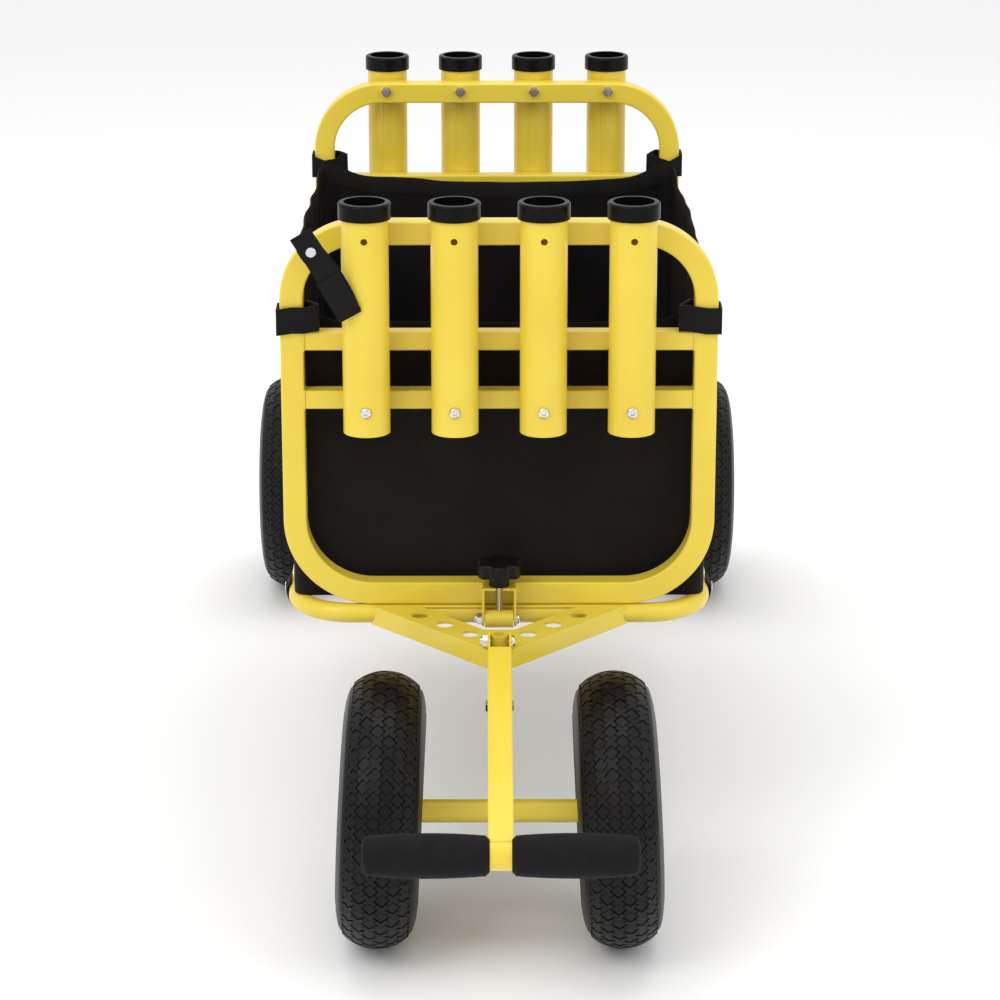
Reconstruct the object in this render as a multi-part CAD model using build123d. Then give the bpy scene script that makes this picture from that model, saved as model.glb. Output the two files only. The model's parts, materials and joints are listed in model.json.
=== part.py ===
from build123d import *
import os
from math import cos, radians, sin, tan

# A four-wheeled beach cart: a round-tube chassis ring carries a fabric liner between two end
# frames, each end frame carries four rod-holder tubes, and a steering post under the drawbar
# plate joins the T handle to the front axle.
# Millimetres. +Z is up and the floor is z = 0. The handle points along -Y. Parts are built
# with y = 0 at the ring's front tube, and moved at the end so that the whole cart is centred.

# ---- chassis ----
ring_width = 410  # over the side tubes
ring_tube = 19
ring_wall = 1.5
ring_z = 279
ring_corner = 55  # centreline
hinge_tube_y = 696.5
cross_tube_count = 2
cross_tube_clear = 0.1
tail_length = 198.5  # from the rear hinge tube to the ring's rear tube

# ---- end frames ----
frame_width = 410
frame_height = 375
frame_tube = 22
frame_wall = 1.5
frame_seat_gap = 0.3  # the frame's bottom tube over the ring
frame_corner_top = 75
frame_corner_bottom = 85
frame_edge = 2
frame_inset = 7  # frame centre plane inboard of the ring tube's centre
crossbar_tube = 18
upper_crossbar_drop = 114  # from the frame's top face to the bar's centre
lower_crossbar_drop = 171

# ---- rod holders ----
rod_count = 4
rod_pitch = 82.5
rod_diameter = 44
rod_wall = 2
rod_below_bar = 24  # tube end under the lower crossbar's centre
rod_above_frame = 19.5  # tube end over the frame's top face
rod_seat_gap = 0.1
cap_wall = 2.5
cap_skirt = 10
cap_lip = 5.5
cap_bore = 38.4
cap_inside = 14  # the thin sleeve that lines the tube's mouth
cap_clear = 0.05
access_hole = 6.5
top_bolt_drop = 8.5  # from the frame's top face to the rods' upper bolts

# ---- M6 hardware ----
bolt_diameter = 6
bolt_clear = 0.1
bolt_head = 10.5
bolt_head_height = 3.3
hex_socket = 4
hex_depth = 2
head_seat_gap = 0.8  # a flat head inside a round tube
nut_flats = 10
nut_height = 6
running_clear = 0.05

# ---- frame hinges ----
hinge_offset = 17  # hinge axis outboard of the ring tube's centre
knuckle_width = 27
knuckle_radius = 8.5
bracket_gap = 0.5
bracket_plate = 2.5
bracket_rise = 33  # bracket top over the hinge axis
bracket_nose = 7.2  # plate radius round the hinge axis
knob_diameter = 42.5
knob_height = 14
knob_hub = 19
knob_hub_height = 10
knob_lobes = 6
knob_gap = 1
stud_tip_gap = 0.3
stud_engaged = 14

# ---- drawbar plate and steering ----
plate_half_width = 122.5
plate_rear_y = -6
plate_tip_y = -127
plate_tip_half_width = 12
plate_inner_half_width = 73.5
plate_inner_y = -10.5
plate_web_half_width = 14
plate_web_y = -74.5
plate_thickness = 2.5
plate_z = 288.6
flange_height = 19
plate_hole = 17
plate_hole_places = (75.5, 51.2, 27.2)
post_y = -130
post_diameter = 17
post_wall = 2.5
post_top = 304.8
sleeve_outer = 22
sleeve_bottom = 238
collar_outer = 27
collar_height = 8
collar_gap = 0.3

# ---- handle ----
pivot_z = 297.4
handle_slope = 11.2  # degrees below level at rest
handle_length = 343  # pivot to crossbar
handle_tube = 22
handle_wall = 2.2
handle_edge = 2
ear_radius = 8.3
notch_depth = 27.5
sleeve_notch_clear = 1
crossbar_diameter = 25
crossbar_wall = 2
crossbar_length = 226
grip_diameter = 38
grip_end_diameter = 34
grip_length = 107
grip_gap = 18.6
grip_round = 7
grip_clear = 0.1

# ---- wheels ----
tyre_radius = 130
tyre_width = 76
tyre_crown = 44  # crown arc radius
tyre_shoulder = 31
tyre_carcass = 6
tyre_widest = 92  # radius of the widest place
bead_toe = 1.6
rim_seat = 51
rim_flange = 57.5
rim_half_width = 27
rim_plate = 2
rim_gap = 0.05
hub_length = 52
bearing_outer = 35
bearing_width = 11
axle_diameter = 15.9
axle_bore = 16
axle_tube = 22
axle_tube_bore = 17
hub_gap = 0.5
axle_shoulder = 1  # bare stub between the front axle tube and its hub
axle_nut_flats = 24
axle_nut_height = 10
axle_nut_gap = 0.3
axle_end = 2
bolt_end = 1  # thread that stands out of each M6 nut
front_half_track = 111
rear_half_track = 247
camber = 2.8  # front wheels lean in at the top
stub_bend_inset = 9
stub_inside = 17
rear_leg_x = 150
leg_tube = 19
rim_bolt_circle = 32
rim_bolt_count = 4

# ---- fabric ----
liner_wall = 2
liner_clear = 0.8
liner_half_width = 198
liner_top = 562
liner_corner = 15
fabric_clear = 0.3
strap_width = 25
strap_thickness = 3
post_strap_z = 573
floor_strap_inset = 78
snap_diameter = 9.5
handle_strap_width = 22
handle_strap_length = 90
handle_strap_lean = 30
handle_strap_x = -159.6
handle_snap_drop = 20  # from the strap's top end
handle_strap_z = 625

# ---- derived places ----
ring_front_y = 0
ring_rear_y = hinge_tube_y + tail_length
rear_axle_y = ring_rear_y
frame_bottom = ring_z + ring_tube / 2 + frame_seat_gap
frame_top = frame_bottom + frame_height
lower_bar_z = frame_top - lower_crossbar_drop
upper_bar_z = frame_top - upper_crossbar_drop
top_bolt_z = frame_top - top_bolt_drop
frame_face_y = frame_inset - frame_tube / 2
rod_y = frame_face_y - rod_seat_gap - rod_diameter / 2
rod_bottom = lower_bar_z - rod_below_bar
rod_top = frame_top + rod_above_frame
rod_places = [(i - (rod_count - 1) / 2) * rod_pitch for i in range(rod_count)]
bolt_radius = bolt_diameter / 2
front_wheel_z = (tyre_radius - tyre_crown) * cos(radians(camber)) + tyre_crown
stub_bend_x = front_half_track - hub_length / 2 - hub_gap - stub_bend_inset
front_tube_z = front_wheel_z - (front_half_track - stub_bend_x) * tan(radians(camber))
crossbar_y = post_y - handle_length * cos(radians(handle_slope))
crossbar_z = pivot_z - handle_length * sin(radians(handle_slope))
y_middle = (rear_axle_y + tyre_radius + crossbar_y - grip_diameter / 2) / 2

nodes = {}


def rounded_loop(width, height, radii, thickness):
    # a flat plate in X-Y with its own radius at each corner: low y pair, then high y pair
    with BuildSketch() as sketch:
        Rectangle(width, height)
        low = sketch.vertices().group_by(Axis.Y)[0]
        fillet(low, radii[0])
        high = sketch.vertices().sort_by(Axis.Y)[-2:]
        fillet(high, radii[1])
    return extrude(sketch.sketch, thickness / 2, both=True)


def along_x(radius, length, x=0, y=0, z=0):
    return Pos(x, y, z) * Rot(0, 90, 0) * Cylinder(radius, length)


def along_y(radius, length, x=0, y=0, z=0):
    return Pos(x, y, z) * Rot(90, 0, 0) * Cylinder(radius, length)


def upright(radius, bottom, top, x=0, y=0):
    return Pos(x, y, (bottom + top) / 2) * Cylinder(radius, top - bottom)


def ring_tube_solid(radius):
    # the closed ring of one round section
    half = ring_width / 2 - ring_tube / 2
    length = ring_rear_y - ring_front_y
    outline = Pos(0, ring_front_y + length / 2, ring_z) * Rectangle(2 * half, length)
    path = fillet(outline.vertices(), ring_corner).wire()
    section = Plane(origin=(0, ring_front_y, ring_z), z_dir=(1, 0, 0)) * Circle(radius)
    return sweep(section, path=path)


def make_ring():
    return ring_tube_solid(ring_tube / 2) - ring_tube_solid(ring_tube / 2 - ring_wall)


def make_cross_tubes():
    # the plain floor tubes and the rear hinge tube, coped to the ring's side tubes
    side = ring_tube_solid(ring_tube / 2 + cross_tube_clear)
    tubes = []
    for place in range(cross_tube_count + 1):
        y = hinge_tube_y * (place + 1) / (cross_tube_count + 1)
        tube = along_x(ring_tube / 2, ring_width - ring_tube, y=y, z=ring_z)
        tube -= along_x(ring_tube / 2 - ring_wall, ring_width, y=y, z=ring_z)
        tubes += biggest(tube - side, 1)
    return tubes


def biggest(shape, count):
    return sorted(shape.solids(), key=lambda s: s.volume)[-count:]


def make_drawbar_plate():
    # a V-shaped plate with a flange down its two outer edges, in front of the ring
    edge = [(plate_half_width, plate_rear_y), (plate_tip_half_width, plate_tip_y)]
    inner = [
        (plate_web_half_width, plate_web_y),
        (plate_inner_half_width, plate_inner_y),
        (plate_inner_half_width, plate_rear_y),
    ]
    plate = extrude(Pos(0, 0, plate_z) * both_sides(edge), -flange_height)
    slope = (plate_rear_y - plate_tip_y) / (plate_half_width - plate_tip_half_width)
    inset = plate_thickness * (1 + 1 / slope**2) ** 0.5
    pocket = both_sides([(x - inset, y) for x, y in edge])
    plate -= extrude(Pos(0, 0, plate_z - plate_thickness) * pocket, -flange_height)
    opening = both_sides(inner)
    opening = fillet(opening.vertices().sort_by(Axis.Y)[:2], 8)
    plate -= extrude(Pos(0, 0, plate_z) * opening, -plate_thickness)
    for x in plate_hole_places:
        # each hole sits on the arm's middle line
        y = (edge_y(x, edge[0], edge[1]) + edge_y(x, inner[1], inner[0])) / 2
        for side in (-1, 1):
            plate -= upright(plate_hole / 2, plate_z - flange_height, plate_z, side * x, y)
    plate -= along_x(ring_tube / 2, ring_width, y=ring_front_y, z=ring_z)
    plate -= upright(sleeve_outer / 2, sleeve_bottom, pivot_z, y=post_y)
    return biggest(plate, 1)


def both_sides(points):
    # the face between a run of points and its mirror image across x = 0
    return make_face(Polyline(*points, *[(-x, y) for x, y in reversed(points)], close=True))


def edge_y(x, start, end):
    return start[1] + (x - start[0]) * (end[1] - start[1]) / (end[0] - start[0])


def make_sleeve():
    sleeve = upright(sleeve_outer / 2, sleeve_bottom, plate_z, y=post_y)
    return sleeve - upright(post_diameter / 2 + running_clear, sleeve_bottom, plate_z, y=post_y)


def make_knuckle():
    # a round-topped block on the ring, bored for the hinge bolt
    axis_y = ring_front_y - hinge_offset
    knuckle = along_x(knuckle_radius, knuckle_width, y=axis_y, z=ring_z)
    knuckle += Pos(0, axis_y + hinge_offset / 2, ring_z) * Box(
        knuckle_width, hinge_offset, 2 * knuckle_radius - 4
    )
    knuckle -= along_x(ring_tube / 2, knuckle_width + 1, y=ring_front_y, z=ring_z)
    knuckle -= along_x(bolt_radius + running_clear, knuckle_width + 1, y=axis_y, z=ring_z)
    return biggest(knuckle, 1)


def make_axle_legs():
    legs = []
    for side in (-1, 1):
        x = side * rear_leg_x
        leg = upright(leg_tube / 2, tyre_radius, ring_z, x, rear_axle_y)
        leg -= upright(leg_tube / 2 - ring_wall, tyre_radius, ring_z, x, rear_axle_y)
        leg -= along_x(ring_tube / 2, ring_width, y=ring_rear_y, z=ring_z)
        leg -= along_x(axle_tube / 2, ring_width, y=rear_axle_y, z=tyre_radius)
        legs += biggest(leg, 1)
    return legs


def make_frame_loop():
    # a square tube bent to a rounded rectangle: the low pair of corners is the bottom one
    radii = (frame_corner_bottom, frame_corner_top)
    loop = rounded_loop(frame_width, frame_height, radii, frame_tube)
    inner_radii = [r - frame_tube for r in radii]
    inner_size = (frame_width - 2 * frame_tube, frame_height - 2 * frame_tube)
    loop -= rounded_loop(*inner_size, inner_radii, frame_tube)
    loop = fillet(loop.edges().filter_by(lambda e: abs(e.center().Z) > frame_tube / 2 - 0.01), frame_edge)
    core = rounded_loop(
        frame_width - 2 * frame_wall,
        frame_height - 2 * frame_wall,
        [r - frame_wall for r in radii],
        frame_tube - 2 * frame_wall,
    )
    core -= rounded_loop(
        inner_size[0] + 2 * frame_wall,
        inner_size[1] + 2 * frame_wall,
        [r + frame_wall for r in inner_radii],
        frame_tube - 2 * frame_wall,
    )
    loop = Pos(0, frame_inset, frame_bottom + frame_height / 2) * Rot(90, 0, 0) * (loop - core)
    for x in rod_places:
        loop -= along_y(bolt_radius + bolt_clear, frame_tube + 1, x, frame_inset, top_bolt_z)
    return loop


def make_crossbars():
    # flush with the frame's outer face, and butted to its upright tubes
    length = frame_width - 2 * frame_tube - 2 * cross_tube_clear
    y = frame_face_y + crossbar_tube / 2
    bars = []
    for z in (lower_bar_z, upper_bar_z):
        bar = Pos(0, y, z) * Box(length, crossbar_tube, crossbar_tube)
        bar = fillet(bar.edges().filter_by(Axis.X), frame_edge)
        hollow = crossbar_tube - 2 * frame_wall
        bar -= Pos(0, y, z) * Box(length, hollow, hollow)
        if z == lower_bar_z:
            for x in rod_places:
                bar -= along_y(bolt_radius + bolt_clear, crossbar_tube + 1, x, y, z)
        bars.append(bar)
    return bars


def make_bracket():
    # two side plates and a top plate, welded to the frame's face and bored for bolt and stud
    axis_y = ring_front_y - hinge_offset
    inner = knuckle_width / 2 + bracket_gap
    depth = frame_face_y - (axis_y - bracket_nose)
    middle_y = axis_y - bracket_nose + depth / 2
    low = frame_bottom - ring_z
    plate = along_x(bracket_nose, bracket_plate, y=axis_y, z=ring_z)
    plate += Pos(0, axis_y, ring_z + low / 2) * Box(bracket_plate, 2 * bracket_nose, low)
    plate += Pos(0, middle_y, ring_z + (low + bracket_rise) / 2) * Box(
        bracket_plate, depth, bracket_rise - low
    )
    plate -= along_x(bolt_radius + bolt_clear, bracket_plate + 1, y=axis_y, z=ring_z)
    bracket = Pos(0, middle_y, ring_z + bracket_rise - bracket_plate / 2) * Box(
        2 * inner, depth, bracket_plate
    )
    for side in (-1, 1):
        bracket += Pos(side * (inner + bracket_plate / 2)) * plate
    top = bracket.edges().filter_by(Axis.Y).sort_by(Axis.Z)[-2:]
    bracket = fillet(top, bracket_plate - 0.5)
    # the stud's hole in the top plate is a slot, open to the front
    slot = 2 * (bolt_radius + running_clear)
    bracket -= upright(slot / 2, ring_z, ring_z + 2 * bracket_rise, y=axis_y)
    return bracket - Pos(0, axis_y - bracket_nose, ring_z + bracket_rise) * Box(
        slot, 2 * bracket_nose, 2 * bracket_plate + 1
    )


def make_rod_tubes():
    tubes = []
    for x in rod_places:
        tube = upright(rod_diameter / 2, rod_bottom, rod_top, x, rod_y)
        tube -= upright(rod_diameter / 2 - rod_wall, rod_bottom, rod_top, x, rod_y)
        hole = bolt_radius + bolt_clear
        tube -= along_y(hole, rod_diameter + 1, x, rod_y, lower_bar_z)
        tube -= along_y(hole, rod_diameter / 2 + 1, x, rod_y + rod_diameter / 4, top_bolt_z)
        tube -= along_y(access_hole / 2, rod_diameter / 2 + 1, x, rod_y - rod_diameter / 4, top_bolt_z)
        tubes.append(tube)
    return tubes


def make_rod_caps():
    # a skirt over the tube's end, a rounded lip over its rim and a thin sleeve inside it
    caps = []
    outer = rod_diameter / 2 + cap_wall
    sleeve = rod_diameter / 2 - rod_wall - cap_clear
    for x in rod_places:
        cap = upright(outer, rod_top - cap_skirt, rod_top + cap_lip, x, rod_y)
        cap = fillet(cap.edges().sort_by(Axis.Z)[-1], cap_wall)
        cap -= upright(rod_diameter / 2 + cap_clear, rod_top - cap_skirt, rod_top + cap_clear, x, rod_y)
        cap += upright(sleeve, rod_top - cap_inside, rod_top + cap_lip / 2, x, rod_y)
        caps.append(cap - upright(cap_bore / 2, rod_top - cap_inside, rod_top + cap_lip, x, rod_y))
    return caps


def button_bolt(length):
    # the head's seat is at the origin and the shank runs along -Z
    head = Pos(0, 0, bolt_head_height / 2) * Cylinder(bolt_head / 2, bolt_head_height)
    head = fillet(head.edges().sort_by(Axis.Z)[-1], bolt_head_height * 0.7)
    socket = Pos(0, 0, bolt_head_height) * extrude(RegularPolygon(hex_socket / 2, 6, major_radius=False), -hex_depth)
    return head - socket + Pos(0, 0, -length / 2) * Cylinder(bolt_radius, length)


def lock_nut(flats, height, bore):
    # the seat is at the origin and the domed collar looks along +Z
    hexagon = extrude(RegularPolygon(flats / 2, 6, major_radius=False), height * 0.75)
    collar = Pos(0, 0, height * 0.85) * Cylinder(flats * 0.42, height * 0.3)
    nut = hexagon + collar
    return nut - Pos(0, 0, height / 2) * Cylinder(bore / 2, height + 1)


def make_rod_bolts():
    bolts = []
    back = frame_face_y + frame_tube + nut_height + bolt_end
    outer_y = rod_y - rod_diameter / 2
    inner_y = frame_face_y - rod_seat_gap - rod_wall - head_seat_gap
    bar_back = frame_face_y + crossbar_tube + nut_height + bolt_end
    for x in rod_places:
        bolts.append(Pos(x, outer_y, lower_bar_z) * Rot(90, 0, 0) * button_bolt(bar_back - outer_y))
        bolts.append(Pos(x, inner_y, top_bolt_z) * Rot(90, 0, 0) * button_bolt(back - inner_y))
    return bolts


def make_frame_nuts():
    # lock nuts on the inner faces, and one on the hinge bolt
    nuts = []
    nut = lock_nut(nut_flats, nut_height, bolt_diameter + 2 * running_clear)
    for x in rod_places:
        for z, depth in ((lower_bar_z, crossbar_tube), (top_bolt_z, frame_tube)):
            nuts.append(Pos(x, frame_face_y + depth + running_clear, z) * Rot(-90, 0, 0) * nut)
    outside = -knuckle_width / 2 - bracket_gap - bracket_plate - running_clear
    nuts.append(Pos(outside, ring_front_y - hinge_offset, ring_z) * Rot(0, -90, 0) * nut)
    return nuts


def make_hinge_bolt():
    outside = knuckle_width / 2 + bracket_gap + bracket_plate + running_clear
    length = 2 * outside + nut_height + bolt_end
    return Pos(outside, ring_front_y - hinge_offset, ring_z) * Rot(0, 90, 0) * button_bolt(length)


def make_stud():
    tip = ring_z + knuckle_radius + stud_tip_gap
    top = ring_z + bracket_rise + knob_gap + stud_engaged
    stud = upright(bolt_radius, tip, top, y=ring_front_y - hinge_offset)
    return chamfer(stud.edges().filter_by(GeomType.CIRCLE), 0.6)


def make_star_knob():
    # a hub under a six-lobed head, blind-bored from below for the stud
    y = ring_front_y - hinge_offset
    bottom = ring_z + bracket_rise + knob_gap
    head_bottom = bottom + knob_hub_height
    top = head_bottom + knob_height
    head = upright(knob_diameter / 2, head_bottom, top, y=y)
    groove = knob_diameter * 0.16
    for place in PolarLocations(knob_diameter / 2 + groove * 0.45, knob_lobes):
        head -= Pos(0, y) * place * upright(groove, head_bottom, top)
    head = fillet(head.edges().filter_by(Axis.Z), 2)
    head = fillet(head.edges().group_by(Axis.Z)[-1], 2.5)
    head = fillet(head.edges().group_by(Axis.Z)[0], 1)
    knob = head + upright(knob_hub / 2, bottom, head_bottom, y=y)
    return knob - upright(bolt_radius + running_clear, bottom, bottom + stud_engaged + running_clear, y=y)


def make_post():
    post = upright(post_diameter / 2, front_tube_z, post_top, y=post_y)
    post -= upright(post_diameter / 2 - post_wall, front_tube_z, post_top, y=post_y)
    post -= along_x(axle_tube / 2, 2 * axle_tube, y=post_y, z=front_tube_z)
    post -= along_x(bolt_radius + running_clear, 2 * post_diameter, y=post_y, z=pivot_z)
    return biggest(post, 1)


def make_collar():
    top = sleeve_bottom - collar_gap
    collar = upright(collar_outer / 2, top - collar_height, top, y=post_y)
    collar = chamfer(collar.edges(), 0.8)
    return collar - upright(post_diameter / 2 + running_clear, top - collar_height, top, y=post_y)


def make_front_axle_tube():
    length = 2 * (front_half_track - hub_length / 2 - hub_gap - axle_shoulder)
    tube = along_x(axle_tube / 2, length, y=post_y, z=front_tube_z)
    return tube - along_x(axle_tube_bore / 2, length, y=post_y, z=front_tube_z)


def front_hub(side):
    # the wheel's own frame: its axle along +Z outwards, tilted up by the camber
    return Pos(side * front_half_track, post_y, front_wheel_z) * Rot(0, side * (90 - camber), 0)


def rear_hub(side):
    return Pos(side * rear_half_track, rear_axle_y, tyre_radius) * Rot(0, side * 90, 0)


def make_stubs():
    outer = hub_length / 2 + axle_nut_gap + axle_nut_height + axle_end
    inner = front_half_track - stub_bend_x + stub_inside / 2
    stub = Pos(0, 0, (outer - inner) / 2) * Cylinder(axle_diameter / 2, outer + inner)
    stub = chamfer(stub.edges().filter_by(GeomType.CIRCLE), 1)
    return [front_hub(side) * stub for side in (-1, 1)]


def make_rear_axle_tube():
    length = 2 * (rear_half_track - hub_length / 2 - hub_gap)
    tube = along_x(axle_tube / 2, length, y=rear_axle_y, z=tyre_radius)
    return tube - along_x(axle_tube_bore / 2, length, y=rear_axle_y, z=tyre_radius)


def make_rear_axle():
    outer = rear_half_track + hub_length / 2 + axle_nut_gap + axle_nut_height + axle_end
    axle = along_x(axle_diameter / 2, 2 * outer, y=rear_axle_y, z=tyre_radius)
    return chamfer(axle.edges().filter_by(GeomType.CIRCLE), 1)


def make_axle_nuts(hub):
    nut = lock_nut(axle_nut_flats, axle_nut_height, axle_bore)
    return [hub(side) * Pos(0, 0, hub_length / 2 + axle_nut_gap) * nut for side in (-1, 1)]


def tyre_outline(inset):
    # half section, radius against width, from crown middle to bead
    crown_centre = tyre_radius - tyre_crown
    crown = tyre_crown - inset
    shoulder = tyre_shoulder - inset * 0.8
    shoulder_r = crown_centre + (crown**2 - shoulder**2) ** 0.5
    widest = (tyre_widest, tyre_width / 2 - inset)
    bead = (rim_flange + cap_clear, rim_half_width - rim_plate - inset)
    return (crown_centre + crown, 0), (shoulder_r, shoulder), widest, bead


def tyre_half(inset, side):
    top, shoulder, widest, bead = tyre_outline(inset)
    half = (shoulder[1] / 2, tyre_radius - tyre_crown + ((tyre_crown - inset) ** 2 - shoulder[1] ** 2 / 4) ** 0.5)
    crown = ThreePointArc((0, top[0]), (side * half[0], half[1]), (side * shoulder[1], shoulder[0]))
    wall = Spline(
        (side * shoulder[1], shoulder[0]),
        (side * widest[1], widest[0]),
        (side * bead[1], bead[0]),
        tangents=((side, -1), (side * -0.9, -1)),
    )
    return [crown, wall]


def make_tyre():
    sections = []
    foot = rim_seat + rim_plate
    for inset in (0, tyre_carcass):
        edges = tyre_half(inset, -1) + tyre_half(inset, 1)
        bead = tyre_outline(inset)[3]
        edges.append(Polyline((-bead[1], bead[0]), (-bead[1], foot), (bead[1], foot), (bead[1], bead[0])))
        sections.append(make_face(edges))
    section = sections[0] - sections[1]
    toes = section.vertices().group_by(Axis.Y)[0].sort_by(Axis.X)
    section = chamfer([toes[0], toes[-1]], bead_toe)
    # the section's X is the wheel's axle and its Y is the radius
    turned = Plane(origin=(0, 0, 0), x_dir=(0, 0, 1), z_dir=(0, 1, 0)) * section
    return biggest(revolve(turned, Axis.Z), 1)[0]


def make_rim_halves():
    # two pressed halves bolted back to back: flange, bead seat, disc and bearing cup
    cup = bearing_outer / 2 + cap_clear
    seat = rim_seat + rim_plate - rim_gap
    flange = rim_half_width - rim_plate + rim_gap
    outline = Polyline(
        (rim_flange, rim_half_width),
        (rim_flange, flange),
        (seat, flange),
        (seat, rim_gap),
        (cup, rim_gap),
        (cup, hub_length / 2),
        (cup + rim_plate, hub_length / 2),
        (cup + rim_plate, rim_gap + rim_plate),
        (seat - rim_plate, rim_gap + rim_plate),
        (seat - rim_plate, rim_half_width),
        close=True,
    )
    section = make_face(outline)
    bends = section.vertices().filter_by(lambda v: v.X < rim_flange and rim_gap < v.Y < hub_length / 2 - 1)
    section = fillet(bends, rim_plate * 0.7)
    turned = Plane(origin=(0, 0, 0), x_dir=(1, 0, 0), z_dir=(0, -1, 0)) * section
    half = revolve(turned, Axis.Z)
    for place in PolarLocations(rim_bolt_circle, rim_bolt_count):
        half -= place * Cylinder(bolt_radius + bolt_clear, hub_length)
    half = biggest(half, 1)[0]
    return [half, Rot(180, 0, 0) * half]


def make_wheel_fittings():
    # two bearings in the hub's ends, and the bolts and nuts that join the rim halves
    pieces = []
    bearing = Cylinder(bearing_outer / 2, bearing_width) - Cylinder(axle_bore / 2, bearing_width)
    for side in (-1, 1):
        pieces.append(Pos(0, 0, side * (hub_length - bearing_width) / 2) * bearing)
    seat = rim_gap + rim_plate + running_clear
    nut = lock_nut(nut_flats, nut_height, bolt_diameter + 2 * running_clear)
    bolt = button_bolt(2 * seat + nut_height)
    for place in PolarLocations(rim_bolt_circle, rim_bolt_count):
        pieces.append(place * Pos(0, 0, seat) * bolt)
        pieces.append(place * Pos(0, 0, -seat) * Rot(180, 0, 0) * nut)
    return pieces


def handle_frame():
    # the pivot at the origin, the handle along -Y before it is lowered by its slope
    return Pos(0, post_y, pivot_z) * Rot(handle_slope, 0, 0)


def make_handle_tube():
    half = handle_tube / 2
    tube = Pos(0, -handle_length / 2) * Box(handle_tube, handle_length, handle_tube)
    tube = fillet(tube.edges().filter_by(Axis.Y), handle_edge)
    bore = handle_tube - 2 * handle_wall
    ear_end = along_x(ear_radius, handle_tube)
    tube += ear_end
    tube -= Pos(0, -handle_length / 2) * Box(bore, handle_length + 4 * ear_radius, bore)
    tube -= Pos(0, -notch_depth / 2 + ear_radius) * Box(bore, notch_depth + 2 * ear_radius, 3 * handle_tube)
    tube -= along_x(bolt_radius + bolt_clear, 2 * handle_tube)
    tube -= along_x(crossbar_diameter / 2, 2 * handle_tube, y=-handle_length)
    tube = biggest(handle_frame() * tube, 1)[0]
    front = post_y - sleeve_outer / 2 - sleeve_notch_clear
    deep = 2 * handle_tube
    room = Pos(0, front + deep / 2, plate_z + fabric_clear - half) * Box(deep, deep, handle_tube)
    return tube - room


def make_handle_crossbar():
    bar = along_x(crossbar_diameter / 2, crossbar_length)
    return Pos(0, crossbar_y, crossbar_z) * (bar - along_x(crossbar_diameter / 2 - crossbar_wall, crossbar_length))


def make_grip(side):
    # foam with a slight barrel and a rounded closed end, pushed up to the handle tube
    inner, outer = grip_gap / 2, grip_gap / 2 + grip_length
    end, belly = grip_end_diameter / 2, grip_diameter / 2
    barrel = ThreePointArc(
        (inner + grip_round / 2, end), ((inner + outer) / 2, belly), (outer - grip_round, end)
    )
    outline = [
        barrel,
        Spline((outer - grip_round, end), (outer, end - grip_round * 1.2), tangents=((1, -0.1), (0, -1))),
        Line((outer, end - grip_round * 1.2), (outer, 0)),
        Line((outer, 0), (inner, 0)),
        Line((inner, 0), (inner, end - grip_round / 2)),
        Line((inner, end - grip_round / 2), (inner + grip_round / 2, end)),
    ]
    grip = revolve(make_face(outline), Axis.X)
    bore = crossbar_length / 2 + grip_clear
    grip -= along_x(crossbar_diameter / 2 + grip_clear, bore, x=bore / 2)
    grip = Pos(0, -handle_length) * grip
    room = handle_tube + 2 * fabric_clear
    grip -= Pos(0, -handle_length / 2) * Box(room, handle_length, room)
    grip = biggest(grip, 1)[0]
    if side < 0:
        grip = grip.mirror(Plane.YZ)
    return handle_frame() * grip


def make_pivot_bolt():
    outside = handle_tube / 2 + running_clear
    bolt = button_bolt(2 * outside + nut_height + bolt_end)
    return Pos(outside, post_y, pivot_z) * Rot(0, 90, 0) * bolt


def make_pivot_nut():
    nut = lock_nut(nut_flats, nut_height, bolt_diameter + 2 * running_clear)
    return Pos(-handle_tube / 2 - running_clear, post_y, pivot_z) * Rot(0, -90, 0) * nut


def make_liner():
    # an open-top fabric box on the ring, between the two end frames
    front = frame_face_y + frame_tube + nut_height + liner_clear
    rear = hinge_tube_y - front
    floor = ring_z + ring_tube / 2 + fabric_clear
    height = liner_top - floor
    middle = Pos(0, (front + rear) / 2, floor + height / 2)
    box = Box(2 * liner_half_width, rear - front, height)
    box = fillet(box.edges().filter_by(Axis.Z), liner_corner)
    inside = Box(2 * liner_half_width - 2 * liner_wall, rear - front - 2 * liner_wall, height)
    inside = fillet(inside.edges().filter_by(Axis.Z), liner_corner - liner_wall)
    return middle * (box - Pos(0, 0, liner_wall) * inside)


def make_post_straps():
    # a webbing loop round each upright tube of the frame
    straps = []
    clear = frame_tube + 2 * fabric_clear
    for side in (-1, 1):
        place = Pos(side * (frame_width - frame_tube) / 2, frame_inset, post_strap_z)
        size = clear + 2 * strap_thickness
        loop = fillet(Box(size, size, strap_width).edges().filter_by(Axis.Z), strap_thickness)
        straps.append(place * (loop - Box(clear, clear, strap_width)))
    return straps


def floor_strap_places():
    side = ring_width / 2 - ring_tube / 2
    ends = (ring_front_y + floor_strap_inset, hinge_tube_y - floor_strap_inset)
    return [(x, y) for x in (-side, side) for y in ends]


def make_floor_straps():
    # webbing loops under the ring's side tubes, ending under the liner's floor
    straps = []
    inner = ring_tube / 2 + fabric_clear
    top = ring_z + ring_tube / 2
    for x, y in floor_strap_places():
        loop = along_y(inner + strap_thickness, strap_width, x, y, ring_z)
        loop -= along_y(inner, strap_width, x, y, ring_z)
        loop -= Pos(x, y, top + ring_tube / 2) * Box(2 * ring_tube, 2 * strap_width, ring_tube)
        straps += biggest(loop, 1)
    return straps


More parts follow.
